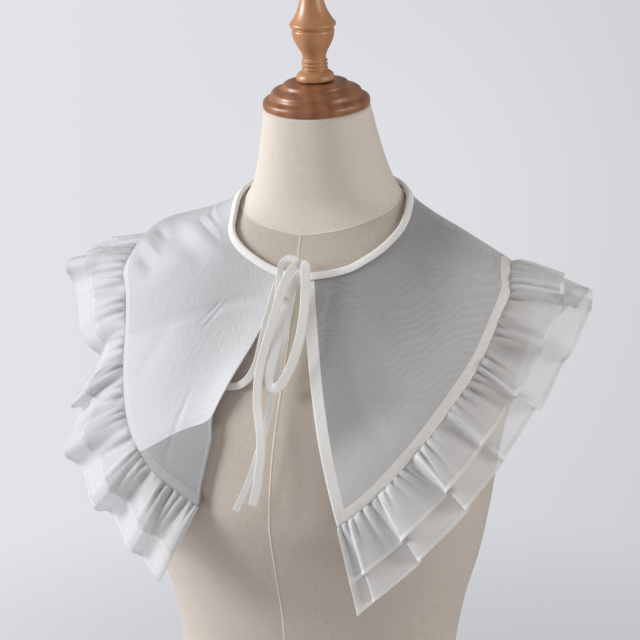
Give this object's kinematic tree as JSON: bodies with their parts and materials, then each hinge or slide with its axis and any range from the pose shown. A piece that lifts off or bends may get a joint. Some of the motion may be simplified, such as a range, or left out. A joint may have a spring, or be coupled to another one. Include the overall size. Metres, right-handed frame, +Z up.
{
  "type": "ruffled detachable collar on a dress form",
  "caption": "Sheer organza detachable collar with pointed fronts, a tiered gathered ruffle, a bound neck and a tied bow, on a limbless linen dress form with a turned wooden neck cap.",
  "frame": {"origin": "centre of the base board's underside, on the surface that the form stands on", "axes": "+Z up along the form, -Y out of its chest, +X to the wearer's left"},
  "size_m": [0.4662, 0.265, 0.7867],
  "materials": {
    "wood": "satin",
    "linen": "matte",
    "organza": "sheer",
    "organza_ruffle": "sheer",
    "binding": "matte"
  },
  "bodies": {
    "root": {"base_board": "wood", "dress_form": "linen", "neck_cap": "wood", "finial": "wood", "collar_panel": "organza", "ruffle_under": "organza_ruffle", "ruffle_upper": "organza_ruffle", "neck_binding": "binding", "bow_knot": "binding", "loop_top": "binding", "loop_right": "binding", "loop_left": "binding", "tail_left": "binding", "tail_right": "binding"}
  },
  "joints": []
}
